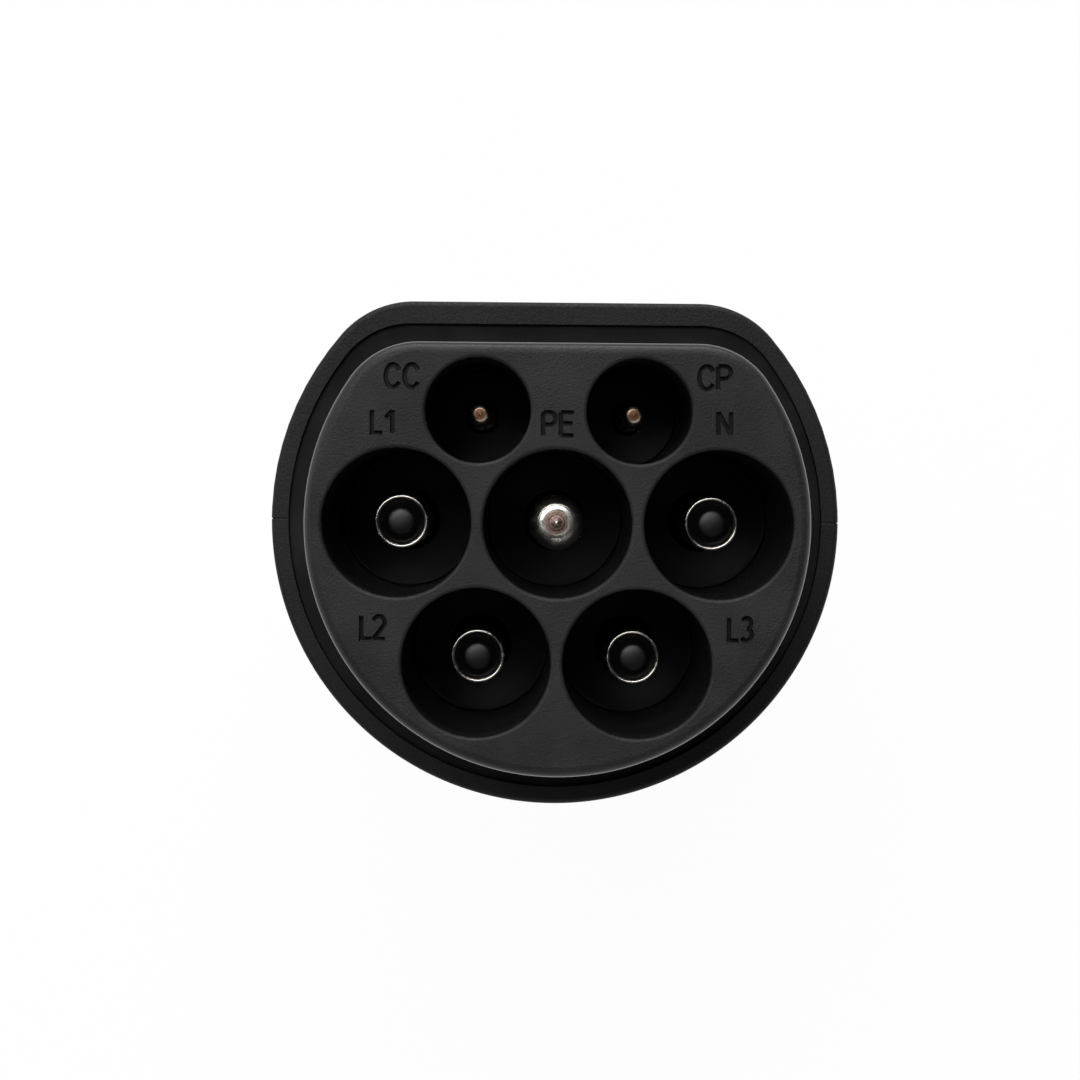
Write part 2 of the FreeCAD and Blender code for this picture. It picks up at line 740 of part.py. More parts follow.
for i, (x, z) in enumerate(screw_places):
    # Wide where it leaves the wall, and narrow beside the pins' barrels.
    neck_low = f"-{s('boss_neck_reach')}"
    neck_length = f"2 * {s('boss_neck_reach')}"
    wide = s("boss_radius")
    bosses += [
        cylinder(f"boss_low_{i}", wide, boss_reach, x, f"-{s('block_radius')}", z, True),
        cylinder(f"boss_neck_{i}", s("boss_neck_radius"), neck_length, x, neck_low, z, True),
        cylinder(f"boss_high_{i}", wide, boss_reach, x, s("boss_neck_reach"), z, True),
    ]
    shank = f"{s('shell_screw_radius')} + {gap}"
    length = f"{s('shell_screw_length')} + {gap}"
    holes.append(cylinder(f"shank_hole_{i}", shank, length, x, drop, z, True))
    head = f"{s('shell_head_radius')} + {s('head_clearance')}"
    depth = f"{rim[0]} - {s('shell_head_depth')}"
    holes.append(cylinder(f"head_hole_{i}", head, depth, x, f"-({rim[0]})", z, True))
room = cut("shell_room_round_bosses", shell_room, fuse("bosses", bosses))
hollow_shell = cut("hollow_shell", shell_outside, room)
whole_shell = cut("whole_shell", hollow_shell, fuse("screw_holes", holes))


def half_shell(name, upper):
    # One half of the shell, on its side of the parting plane through the middle row of pins.
    box = doc.addObject("Part::Box", name + "_side")
    box.setExpression("Length", f"2 * ({collar[0]})")
    box.setExpression("Width", collar[0])
    box.setExpression("Height", plug_face)
    box.setExpression("Placement.Base.x", f"-({collar[0]})")
    if not upper:
        box.setExpression("Placement.Base.y", f"-({collar[0]})")
    half = doc.addObject("Part::Common", name)
    half.Base = whole_shell
    half.Tool = box
    half.Label = name
    place(half)
    pieces.append(half)


half_shell("upper_shell", True)
half_shell("lower_shell", False)


def screw_group(name, screws):
    group = doc.addObject("Part::Compound", name)
    group.Label = name
    group.Links = screws
    place(group)
    pieces.append(group)


def retainer_screws(name, face, depth, over):
    # Four screws with their heads sunk in the plate and their shanks in the moulding.
    screws = []
    reach = f"{s('retainer_thickness')} + {depth}"
    head_z = f"{face} - {s('retainer_head_height')}" if over else face
    shank_z = f"{face} - ({reach})" if over else face
    for i, (x, y) in enumerate(SCREW_PLACES):
        head = cylinder(
            f"{name}_head_{i}", s("retainer_head_radius"), s("retainer_head_height"), x, y, head_z
        )
        shank = cylinder(f"{name}_shank_{i}", s("retainer_screw_radius"), reach, x, y, shank_z)
        screws.append(fuse(f"{name}_{i}", [head, shank]))
    screw_group(name, screws)


base_reach = f"{s('inlet_base_thickness')} + {s('base_screw_reach')}"
retainer_screws("plug_retainer_screws", plug_plate, s("retainer_screw_reach"), False)
retainer_screws("inlet_retainer_screws", inlet_plate, base_reach, True)

screws = []
for i, (x, z) in enumerate(screw_places):
    head_low = f"{drop} - {s('shell_head_height')}"
    head = cylinder(
        f"shell_head_{i}", s("shell_head_radius"), s("shell_head_height"), x, head_low, z, True
    )
    shank = cylinder(
        f"shell_shank_{i}", s("shell_screw_radius"), s("shell_screw_length"), x, drop, z, True
    )
    screws.append(fuse(f"shell_screw_{i}", [head, shank]))
screw_group("shell_screws", screws)

doc.recompute()

# Nothing is written unless every object of the document came out whole.
for thing in doc.Objects:
    if "Invalid" in thing.State or "Error" in thing.State:
        raise ValueError(f"{thing.Name} failed: {thing.State}")

for thing in pieces:
    if thing.Shape.isNull() or not thing.Shape.isValid() or not thing.Shape.Solids:
        raise ValueError(f"{thing.Label} has no valid solid")

for thing in pieces:
    thing.Shape.exportStep(f"parts/{thing.Label}.step")
print(len(pieces), "pieces,", sum(len(thing.Shape.Solids) for thing in pieces), "solids")
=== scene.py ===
import json
import math

import bmesh
import bpy
import numpy as np
from mathutils import Matrix, Vector


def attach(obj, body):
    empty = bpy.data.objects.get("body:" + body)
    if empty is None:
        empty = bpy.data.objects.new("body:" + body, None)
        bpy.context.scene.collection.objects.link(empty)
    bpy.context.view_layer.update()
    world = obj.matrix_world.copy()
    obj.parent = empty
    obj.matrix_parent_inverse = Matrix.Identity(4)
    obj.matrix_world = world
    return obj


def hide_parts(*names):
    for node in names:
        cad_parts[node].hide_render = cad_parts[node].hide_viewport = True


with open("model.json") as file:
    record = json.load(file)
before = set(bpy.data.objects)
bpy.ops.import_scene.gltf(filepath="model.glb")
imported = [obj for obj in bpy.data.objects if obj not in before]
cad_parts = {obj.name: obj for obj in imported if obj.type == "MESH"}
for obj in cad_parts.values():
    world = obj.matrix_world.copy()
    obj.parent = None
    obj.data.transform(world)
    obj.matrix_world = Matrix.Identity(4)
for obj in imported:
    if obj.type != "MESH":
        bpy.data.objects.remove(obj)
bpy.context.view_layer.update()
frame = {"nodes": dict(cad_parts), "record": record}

scene = bpy.context.scene
mm = 0.001
axisRise = 3.85  # mm: the pins' axis stands this far above the middle of the box

# The D-shaped outlines in mm: radius of the round side, height of the flat, radius of its two corners.
block = np.array([26.8, 19.1, 8.8])
mouth = np.array([30.6, 22.5, 9.6])
rim = np.array([32.6, 25.1, 11.0])
grooveWall = block + 4.6
collar = block + 7.2
lowerRow = 17 * math.sqrt(3) / 2
poles = {
    "l1": (-17, 0), "n": (17, 0), "l2": (-8.5, -lowerRow), "l3": (8.5, -lowerRow),
    "pe": (0, 0), "cc": (-8.5, 11.9), "cp": (8.5, 11.9),
}
livePoles = ("l1", "n", "l2", "l3")
print("frame loaded:", len(frame["nodes"]), "nodes")


def quarterD(rows, near):
    # A quarter of the D for each row (radius, flat, corner, height): the round side R (cos a, sin a) from
    # the parting plane to the corner, the corner's arc about (reach, flat - corner), then the flat to x = 0.
    radius, flat, corner = rows[:, 0:1], rows[:, 1:2], rows[:, 2:3]
    reach = np.sqrt((radius - corner) ** 2 - (flat - corner) ** 2)
    turn = np.arctan2(flat - corner, reach)
    side = np.hstack([near / radius, turn * np.linspace(0.06, 1, 9, endpoint=False)])
    bend = turn + (np.pi / 2 - turn) * np.linspace(0, 1, 26, endpoint=False)
    along = reach * np.linspace(1, 0, 16)
    x = np.hstack([radius * np.cos(side), reach + corner * np.cos(bend), along])
    y = np.hstack([radius * np.sin(side), flat - corner + corner * np.sin(bend), flat + 0 * along])
    return x, y


def dSurface(rows, part="whole", near=(0.0,)):
    # Points of the D-shaped rows, anticlockwise from the right: each outline at its row's height.
    rows = np.asarray(rows, float)
    near = np.asarray(near, float)[None, :]
    x, y = quarterD(rows, near)
    upperX, upperY = np.hstack([x, -x[:, -2::-1]]), np.hstack([y, y[:, -2::-1]])
    radius = rows[:, 0:1]
    between = np.pi * np.linspace(0.011, 0.989, 130) + 0 * radius
    turn = np.hstack([near / radius, between, np.pi - near[:, ::-1] / radius])
    lowerX, lowerY = -radius * np.cos(turn), -radius * np.sin(turn)
    if part == "upper":
        x, y = upperX, upperY
    elif part == "lower":
        x, y = lowerX, lowerY
    else:
        x, y = np.hstack([upperX, lowerX[:, 1:-1]]), np.hstack([upperY, lowerY[:, 1:-1]])
    return np.dstack([x, y, rows[:, 3:4] + 0 * x])


def turnedSurface(profile, across, up=1, foot=0.0, count=72):
    # Points of a turned piece: each (radius, height) of the profile goes once round the axis at across.
    radius, height = np.asarray(profile, float).T[:, :, None]
    angle = np.linspace(0, 2 * np.pi, count, endpoint=False)[None, :]
    x, y = across[0] + radius * np.cos(angle), across[1] + radius * np.sin(angle)
    return np.dstack([x, y, foot + up * height + 0 * x])


def roundEdge(outline, inset, height, radius, start, end, steps=8):
    # Rows round an edge: the outline moved by inset + radius cos a, at height + radius sin a.
    angle = np.radians(np.linspace(start, end, steps))[:, None]
    return np.hstack([outline + inset + radius * np.cos(angle), height + radius * np.sin(angle)])


def level(outline, height):
    # One row: the outline itself at one height.
    return np.append(outline, height)[None, :]


def roundCorner(inset, height, radius, start, end, steps=7):
    # The same for a turned profile: (inset + radius cos a, height + radius sin a).
    angle = np.radians(np.linspace(start, end, steps))
    return np.column_stack([inset + radius * np.cos(angle), height + radius * np.sin(angle)])


def gridMesh(name, points, loopRows=False, openColumns=False):
    # One quad between each four neighbours of the grid; open rows or columns are closed by flat ends.
    rows, columns = points.shape[:2]
    index = np.arange(rows * columns).reshape(rows, columns)
    below = index if loopRows else index[:-1]
    above = np.roll(index, -1, axis=0) if loopRows else index[1:]
    if openColumns:
        corners = (below[:, :-1], below[:, 1:], above[:, 1:], above[:, :-1])
    else:
        corners = (below, np.roll(below, -1, axis=1), np.roll(above, -1, axis=1), above)
    faces = np.stack(corners, axis=-1).reshape(-1, 4).tolist()
    if not loopRows:
        faces += [index[0].tolist(), index[-1].tolist()]
    if openColumns:
        faces += [index[:, 0].tolist(), index[:, -1].tolist()]
    place = (points.reshape(-1, 3) + [0, axisRise, 0]) * mm
    mesh = bpy.data.meshes.new(name)
    mesh.from_pydata(place.tolist(), [], faces)
    if not loopRows and not openColumns:
        # The way in mm left along the profile to its last row, which the metals' materials read.
        step = np.linalg.norm(np.diff(points[:, 0], axis=0), axis=1)
        toEnd = np.append(np.cumsum(step[::-1])[::-1], 0)
        mesh.attributes.new("toEnd", "FLOAT", "POINT").data.foreach_set("value", np.repeat(toEnd, columns))
    faceOutwards(mesh)
    return mesh


def faceOutwards(mesh):
    # Turns the normals of a closed mesh outwards.
    work = bmesh.new()
    work.from_mesh(mesh)
    bmesh.ops.recalc_face_normals(work, faces=work.faces)
    work.to_mesh(mesh)
    work.free()


def joined(name, meshes):
    # One mesh out of several, which are removed.
    work = bmesh.new()
    for mesh in meshes:
        work.from_mesh(mesh)
    whole = bpy.data.meshes.new(name)
    work.to_mesh(whole)
    work.free()
    for mesh in meshes:
        bpy.data.meshes.remove(mesh)
    return whole


def carved(mesh, cutters):
    # The mesh less its cutters, by one exact Boolean.
    body = bpy.data.objects.new("body", mesh)
    tool = bpy.data.objects.new("tool", joined("tool", cutters))
    scene.collection.objects.link(body)
    scene.collection.objects.link(tool)
    difference = body.modifiers.new("difference", "BOOLEAN")
    difference.operation, difference.solver, difference.object = "DIFFERENCE", "EXACT", tool
    bpy.context.view_layer.update()
    result = bpy.data.meshes.new_from_object(body.evaluated_get(bpy.context.evaluated_depsgraph_get()))
    bpy.data.objects.remove(body)
    bpy.data.objects.remove(tool)
    return result


def makePiece(name, mesh, material, slot, *nodes, sharpAbove=38):
    # A finished piece at the origin: smooth, crisp above the angle, flat faces kept flat by their weight.
    mesh.materials.clear()
    mesh.materials.append(material)
    mesh.shade_smooth()
    mesh.set_sharp_from_angle(angle=math.radians(sharpAbove))
    piece = bpy.data.objects.new(name, mesh)
    scene.collection.objects.link(piece)
    weighted = piece.modifiers.new("weightedNormals", "WEIGHTED_NORMAL")
    weighted.keep_sharp = True
    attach(piece, "root")
    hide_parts(*nodes)


def linear(code):
    # sRGB hex to linear: c / 12.92 up to 0.04045, and above it ((c + 0.055) / 1.055) to the power of 2.4.
    value = np.array([int(code[i:i + 2], 16) for i in (1, 3, 5)]) / 255
    curve = np.where(value <= 0.04045, value / 12.92, ((value + 0.055) / 1.055) ** 2.4)
    return (*curve.tolist(), 1.0)


def addNode(tree, kind, inputs=None, **settings):
    # One node with its settings; an input given an output is linked, any other value is set.
    node = tree.nodes.new(kind)
    for name, value in settings.items():
        setattr(node, name, value)
    for name, value in (inputs or {}).items():
        if isinstance(value, bpy.types.NodeSocket):
            tree.links.new(value, node.inputs[name])
        else:
            node.inputs[name].default_value = value
    return node


def newMaterial(name, **sockets):
    material = bpy.data.materials.new(name)
    material.use_nodes = True
    shader = material.node_tree.nodes["Principled BSDF"]
    for socket, value in sockets.items():
        shader.inputs[socket.replace("_", " ")].default_value = value
    return material, material.node_tree, shader


noiseSpan = (0.3, 0.7)  # nearly all of a noise texture's values lie in this span


def mouldedPlastic(name, look):
    # The mould's grain breaks up the gloss; slow clouds of tone keep a broad face from looking painted.
    # Where the look has a polish, only the end faces are grained: the bores come off polished core pins, and
    # their colours are painted light.
    material, tree, shader = newMaterial(name, IOR=look["ior"])
    shader.inputs["Specular IOR Level"].default_value = look["specular"]
    where = addNode(tree, "ShaderNodeTexCoord").outputs["Object"]
    grain = addNode(tree, "ShaderNodeTexNoise", {
        "Vector": where, "Scale": 1 / (look["grain"] * mm), "Detail": 3.0, "Roughness": 0.62,
    })
    cloud = addNode(tree, "ShaderNodeTexNoise", {
        "Vector": where, "Scale": 1 / (look["cloud"] * mm), "Detail": 2.0,
    })
    grainShare, toneSpan = 0.7, (0.7, 1.0)
    both = addNode(tree, "ShaderNodeMath", {
        0: grain.outputs["Fac"], 1: grainShare, 2: cloud.outputs["Fac"],
    }, operation="MULTIPLY_ADD")
    shade = addNode(tree, "ShaderNodeMapRange", {
        "Value": both.outputs[0], "From Min": toneSpan[0], "From Max": toneSpan[1],
    })
    colour = addNode(tree, "ShaderNodeMix", {
        0: shade.outputs[0], 6: linear(look["dark"]), 7: linear(look["light"]),
    }, data_type="RGBA")
    rough = addNode(tree, "ShaderNodeMapRange", {
        "Value": grain.outputs["Fac"], "From Min": noiseSpan[0], "From Max": noiseSpan[1],
        "To Min": look["roughness"][0], "To Max": look["roughness"][1],
    })
    bump = addNode(tree, "ShaderNodeBump", {
        "Height": grain.outputs["Fac"], "Strength": look["bump"], "Distance": look["depth"] * mm,
    })
    if "polish" in look:
        height = addNode(tree, "ShaderNodeSeparateXYZ", {"Vector": where}).outputs["Z"]
        middle = addNode(tree, "ShaderNodeMath", {0: height, 1: look["middle"] * mm}, operation="SUBTRACT")
        away = addNode(tree, "ShaderNodeMath", {0: middle.outputs[0]}, operation="ABSOLUTE")
        deepest, first = look["mouthDepths"]
        ends = addNode(tree, "ShaderNodeMapRange", {
            "Value": away.outputs[0],
            "From Min": (look["reach"] - deepest) * mm, "From Max": (look["reach"] - first) * mm,
        }).outputs[0]
        # Painted light in the bores: the walls are painted lighter towards their feet and the floors darker,
        # so no dark line shows where they meet, and all of it is lifted to stand in for light that hardly
        # reaches so deep.
        rise = addNode(tree, "ShaderNodeMapRange", {
            "Value": away.outputs[0], "From Min": look["wallFoot"] * mm, "From Max": look["reach"] * mm,
        })
        wall = addNode(tree, "ShaderNodeMix", {
            0: rise.outputs[0], 6: linear(look["paintedBoreTones"][1]), 7: linear(look["paintedBoreTones"][2]),
        }, data_type="RGBA")
        above = addNode(tree, "ShaderNodeMapRange", {
            "Value": away.outputs[0],
            "From Min": look["wallFoot"] * mm, "From Max": (look["wallFoot"] + look["footFade"]) * mm,
        })
        bore = addNode(tree, "ShaderNodeMix", {
            0: above.outputs[0], 6: linear(look["paintedBoreTones"][0]), 7: wall.outputs[2],
        }, data_type="RGBA")
        colour = addNode(tree, "ShaderNodeMix", {
            0: ends, 6: bore.outputs[2], 7: colour.outputs[2],
        }, data_type="RGBA")
        rough = addNode(tree, "ShaderNodeMapRange", {
            "Value": ends, "To Min": look["polish"], "To Max": rough.outputs[0],
        })
        strength = addNode(tree, "ShaderNodeMath", {0: ends, 1: look["bump"]}, operation="MULTIPLY")
        tree.links.new(strength.outputs[0], bump.inputs["Strength"])
    tree.links.new(colour.outputs[2], shader.inputs["Base Color"])
    tree.links.new(rough.outputs[0], shader.inputs["Roughness"])
    tree.links.new(bump.outputs[0], shader.inputs["Normal"])
    return material


def turnedMetal(name, look):
    # Turned, and some of it plated: the tool's fine rings still show, and the surface is slightly cloudy.
    # Where the look has a worn end, the last flat is bare and dull, all but the pip in its middle, whose pale
    # plated colour is a painted highlight on top of the light its small dome catches.
    material, tree, shader = newMaterial(name, Metallic=1.0)
    toEnd = addNode(tree, "ShaderNodeAttribute", attribute_name="toEnd").outputs["Fac"]
    rings = addNode(tree, "ShaderNodeTexNoise", {
        "W": toEnd, "Scale": 1 / look["feed"], "Detail": 2.0,
    }, noise_dimensions="1D")
    where = addNode(tree, "ShaderNodeTexCoord").outputs["Object"]
    cloud = addNode(tree, "ShaderNodeTexNoise", {
        "Vector": where, "Scale": 1 / (look["cloud"] * mm), "Detail": 3.0,
    })
    colour = addNode(tree, "ShaderNodeMix", {
        0: cloud.outputs["Fac"], 6: linear(look["dark"]), 7: linear(look["light"]),
    }, data_type="RGBA")
    if "worn" in look:
        wornFade, pipFade, markSpan = 0.12, 0.04, (0.8, 1.2)
        end = addNode(tree, "ShaderNodeMapRange", {
            "Value": toEnd, "From Min": look["worn"] + wornFade, "From Max": look["worn"],
        })
        # The pip is kept out of the bare end: its pale colour is a painted highlight, the bright dot in the
        # middle.
        pip = addNode(tree, "ShaderNodeMapRange", {
            "Value": toEnd, "From Min": look["pip"], "From Max": look["pip"] + pipFade,
        })
        end = addNode(tree, "ShaderNodeMath", {0: end.outputs[0], 1: pip.outputs[0]}, operation="MULTIPLY")
        specks = addNode(tree, "ShaderNodeTexNoise", {
            "Vector": where, "Scale": 1 / (look["speck"] * mm), "Detail": 2.0,
        })
        marked = addNode(tree, "ShaderNodeMath", {0: rings.outputs["Fac"], 1: specks.outputs["Fac"]})
        marked = addNode(tree, "ShaderNodeMapRange", {
            "Value": marked.outputs[0], "From Min": markSpan[0], "From Max": markSpan[1],
        })
        ringed = addNode(tree, "ShaderNodeMix", {
            0: marked.outputs[0], 6: linear(look["bare"][0]), 7: linear(look["bare"][1]),
        }, data_type="RGBA")
        colour = addNode(tree, "ShaderNodeMix", {
            0: end.outputs[0], 6: colour.outputs[2], 7: ringed.outputs[2],
        }, data_type="RGBA")
    rough = addNode(tree, "ShaderNodeMapRange", {
        "Value": cloud.outputs["Fac"], "From Min": noiseSpan[0], "From Max": noiseSpan[1],
        "To Min": look["roughness"][0], "To Max": look["roughness"][1],
    })
    if "worn" in look:
        rough = addNode(tree, "ShaderNodeMapRange", {
            "Value": end.outputs[0], "To Min": rough.outputs[0], "To Max": look["dull"],
        })
    bump = addNode(tree, "ShaderNodeBump", {
        "Height": rings.outputs["Fac"], "Strength": look["bump"], "Distance": look["depth"] * mm,
    })
    tree.links.new(colour.outputs[2], shader.inputs["Base Color"])
    tree.links.new(rough.outputs[0], shader.inputs["Roughness"])
    tree.links.new(bump.outputs[0], shader.inputs["Normal"])
    return material


# Glass-filled nylon, injection moulded: dense black with a dull grain, lighter where fibres reach the skin.
# The grain is drawn at 0.24 mm, coarser than a mould's, so that it shows in the picture.
nylonBlack = mouldedPlastic("glassFilledNylonMoulded", {
    "dark": "#09090a", "light": "#1a1a1b", "grain": 0.24, "cloud": 7, "roughness": (0.42, 0.66),
    "bump": 1.0, "depth": 0.09, "ior": 1.53, "specular": 0.25,
    "polish": 0.22, "paintedBoreTones": ("#1a1a1a", "#343434", "#191919"),  # painted light in the bores: floor, foot of the wall and its mouth
    "middle": 76, "reach": 74, "wallFoot": 38,  # mm: a height, then from it to the faces and the plug's floor
    "mouthDepths": (0.45, 0.1), "footFade": 0.03,  # mm: where the face's grain ends, and the floor's edge
})
# Polycarbonate and ABS in a spark-eroded mould: matt, with an even texture, drawn coarse enough to show.
shellBlack = mouldedPlastic("sparkErodedPolycarbonate", {
    "dark": "#070708", "light": "#101011", "grain": 0.28, "cloud": 14, "roughness": (0.45, 0.7),
    "bump": 0.9, "depth": 0.06, "ior": 1.58, "specular": 0.18,
})
# Silicone rubber, compression moulded: duller and deeper black than the plastics beside it.
rubberBlack = mouldedPlastic("compressionMouldedSilicone", {
    "dark": "#0f0f0f", "light": "#1a1a1a", "grain": 0.5, "cloud": 6, "roughness": (0.7, 0.9),
    "bump": 0.4, "depth": 0.03, "ior": 1.41, "specular": 0.2,
})
# Nylon nib, moulded round its stem: smoother than the block, so its rounded end takes a soft light.
nibBlack = mouldedPlastic("smoothNylonMoulded", {
    "dark": "#060606", "light": "#0c0c0c", "grain": 0.3, "cloud": 4, "roughness": (0.32, 0.42),
    "bump": 0.3, "depth": 0.01, "ior": 1.53, "specular": 0.4,
})
# Plates behind the pins: plain black nylon as it leaves the mould.
plateBlack = mouldedPlastic("plainNylonMoulded", {
    "dark": "#1a1a1b", "light": "#2b2b2d", "grain": 0.6, "cloud": 12, "roughness": (0.4, 0.6),
    "bump": 0.3, "depth": 0.02, "ior": 1.53, "specular": 0.4,
})
# PVC drawn round the wire: satin black, faintly cloudy.
wireBlack = mouldedPlastic("extrudedPvc", {
    "dark": "#161616", "light": "#242424", "grain": 0.8, "cloud": 10, "roughness": (0.35, 0.5),
    "bump": 0.2, "depth": 0.02, "ior": 1.53, "specular": 0.5,
})
# Lacquered resistor body: warm and glossy.
lacquerTan = mouldedPlastic("lacqueredCeramic", {
    "dark": "#b39668", "light": "#cbb184", "grain": 0.4, "cloud": 2, "roughness": (0.15, 0.3),
    "bump": 0.1, "depth": 0.01, "ior": 1.5, "specular": 0.5,
})
# Silver-plated brass, turned: nearly white, with the tool's rings.
silverPlate = turnedMetal("silverPlatedBrassTurned", {
    "dark": "#cfc9be", "light": "#efebe4", "feed": 0.06, "cloud": 0.8, "roughness": (0.1, 0.3),
    "bump": 0.2, "depth": 0.006,
})
# The same plating on the earth pin, rubbed through to the brass on its flat end.
wornSilver = turnedMetal("silverPlatedBrassWorn", {
    "dark": "#d6d0c4", "light": "#f0ece4", "feed": 0.16, "cloud": 1.5, "roughness": (0.16, 0.3),
    "bump": 0.8, "depth": 0.02,
    "worn": 1.28, "bare": ("#2a1e19", "#9c857b"), "dull": 0.4, "speck": 0.16, "pip": 0.14,
})
# Bright brass, turned: warm, a little duller where it has tarnished, and brown on its worn end.
brightBrass = turnedMetal("brassTurned", {
    "dark": "#bda795", "light": "#e6d8ca", "feed": 0.07, "cloud": 1.0, "roughness": (0.17, 0.29),
    "bump": 0.25, "depth": 0.006,
    "worn": 0.56, "bare": ("#6e4530", "#b98662"), "dull": 0.36, "speck": 0.14, "pip": 0.12,
})
# Zinc-plated steel: bluish grey and slightly cloudy.
zincPlate = turnedMetal("zincPlatedSteel", {
    "dark": "#8f9296", "light": "#b9bcc0", "feed": 0.08, "cloud": 1.2, "roughness": (0.25, 0.42),
    "bump": 0.2, "depth": 0.01,
})
print("materials made")


cameraLook = {
    "picture": 1080, "focal": 2852.0, "vanishing": (526.0, 488.0), "faceAt": (557.6, 523.9),  # pixels
    "distance": 300.0, "faceHeight": 150,  # mm
    "roll": 0.5, "sensor": 36,  # degrees; mm
}


def placeCamera(look):
    # The view's direction is where the lines down the axis meet in the picture, and the face's centre lands
    # on faceAt.
    middle = look["picture"] / 2
    forward = Vector((
        (middle - look["vanishing"][0]) / look["focal"], (look["vanishing"][1] - middle) / look["focal"], -1,
    )).normalized()
    roll = math.radians(look["roll"])
    up = Vector((-math.sin(roll), math.cos(roll), 0))
    up = (up - forward * up.dot(forward)).normalized()
    right = forward.cross(up)
    depth = look["distance"]
    across = (look["faceAt"][0] - middle) / look["focal"] * depth
    rise = (middle - look["faceAt"][1]) / look["focal"] * depth
    face = Vector((0, axisRise, look["faceHeight"]))
    eye = (face - (right * across + up * rise + forward * depth)) * mm
    camera = bpy.data.objects.new("camera", bpy.data.cameras.new("camera"))
    camera.data.sensor_width = look["sensor"]
    camera.data.lens = look["focal"] * look["sensor"] / look["picture"]
    camera.data.clip_start = 0.01
    camera.matrix_world = Matrix.Translation(eye) @ Matrix((right, up, -forward)).transposed().to_4x4()
    scene.collection.objects.link(camera)
    scene.camera = camera


placeCamera(cameraLook)
scene.view_settings.view_transform = "Standard"


plugLook = {
    "face": 150, "back": 102, "edge": 1.2, "floor": 114, "flare": 0.38, "footRound": 0.04,
    "powerBore": 7.875, "signalBore": 5.55,
    "rib": (106, 109), "ribProud": 1.6, "support": 135,
    "markDepth": 0.8, "markHalf": 0.25, "markFoot": 0.17,  # half a stroke's width at the face and at its foot
    "marks": {  # centre and size of the strokes' centre lines on the face in mm
        "CC": (-16.51, 15.42, 3.36, 2.42), "L1": (-18.51, 10.61, 2.2, 2.4), "PE": (0.0, 10.51, 3.2, 2.42),
        "CP": (16.42, 15.49, 3.3, 2.42), "N": (17.47, 10.71, 1.32, 2.4), "L2": (-19.32, -11.07, 2.5, 2.4),
        "L3": (19.34, -10.94, 2.4, 2.4),
    },
}


def ellipseArc(x, y, radiusX, radiusY, start, end, count=16):
    # Points (x + radiusX cos a, y + radiusY sin a) between two angles in degrees.
    angle = np.radians(np.linspace(start, end, count))
    return np.column_stack([x + radiusX * np.cos(angle), y + radiusY * np.sin(angle)])


# Each letter in a cell one unit high, as two sets of strokes that meet only across the sets, and its width.
letters = {
    "C": ([ellipseArc(0.31, 0.5, 0.31, 0.5, 32, 328, 30)], [], 0.57),
    "L": ([[(0, 1), (0, 0), (0.46, 0)]], [], 0.46),
    "P": (
        [[(0, 1), (0, 0)]],
        [np.vstack([[(0, 1)], ellipseArc(0.27, 0.73, 0.25, 0.27, 90, -90), [(0, 0.46)]])], 0.52,
    ),
    "E": ([[(0, 1), (0, 0)]], [[(0, 1), (0.53, 1)], [(0, 0.53), (0.5, 0.53)], [(0, 0), (0.53, 0)]], 0.53),
    "N": ([[(0, 1), (0, 0)], [(0.53, 1), (0.53, 0)]], [[(0, 1), (0.53, 0)]], 0.53),
    "1": ([[(0.28, 1), (0.28, 0)]], [[(0.23, 0.94), (0, 0.65)]], 0.3),
    "2": ([np.vstack([ellipseArc(0.25, 0.74, 0.24, 0.26, 168, -28), [(0, 0)]])], [[(0, 0), (0.5, 0)]], 0.5),
    "3": (
        [ellipseArc(0.2, 0.76, 0.2, 0.24, 155, -80)],
        [ellipseArc(0.19, 0.27, 0.24, 0.27, 80, -150)], 0.43,
    ),
}
letterGap = {"CC": 0.24, "L1": 0.15, "PE": 0.22, "CP": 0.2, "L2": 0.07, "L3": 0.17}


def boreCutters(look, up):
    # A round cutter for each bore, with a quarter round at its foot and another one that flares its mouth.
    cutters = []
    over = 0.6  # mm past the face
    length = abs(look["face"] - look["floor"])
    for pole, across in poles.items():
        radius = look["signalBore"] if pole in ("cc", "cp") else look["powerBore"]
        flare = look["flare"]
        mouthRows = roundCorner(radius + flare, length - flare, flare, 180, 96, 8)
        foot = look["footRound"] * radius
        footRows = roundCorner(radius - foot, foot, foot, -90, 0, 9)
        profile = np.vstack([footRows, mouthRows, [(mouthRows[-1, 0], length + over)]])
        cutters.append(gridMesh("bore", turnedSurface(profile, across, up, look["floor"], 128)))
    return cutters


def strokeCutter(path, look):
    # A groove along the path: at each point the section's four corners lie off it by their half-widths times
    # the mitre (n1 + n2) / (1 + n1 . n2) of the normals beside it; the walls slope and run on above the face.
    path = np.asarray(path, float)
    way = np.diff(path, axis=0)
    way /= np.linalg.norm(way, axis=1)[:, None]
    side = np.column_stack([-way[:, 1], way[:, 0]])
    before, after = np.vstack([side[:1], side]), np.vstack([side, side[-1:]])
    mitre = (before + after) / (1 + (before * after).sum(axis=1))[:, None]
    lean = (look["markHalf"] - look["markFoot"]) / look["markDepth"]
    over = 0.3  # mm past the face
    high, low = look["markHalf"] + lean * over, look["markFoot"]
    half = np.array([high, low, -low, -high])
    height = look["face"] + np.array([over, -look["markDepth"], -look["markDepth"], over])
    flat = path[:, None, :] + mitre[:, None, :] * half[None, :, None]
    return gridMesh("stroke", np.dstack([flat, np.broadcast_to(height, flat.shape[:2])]))


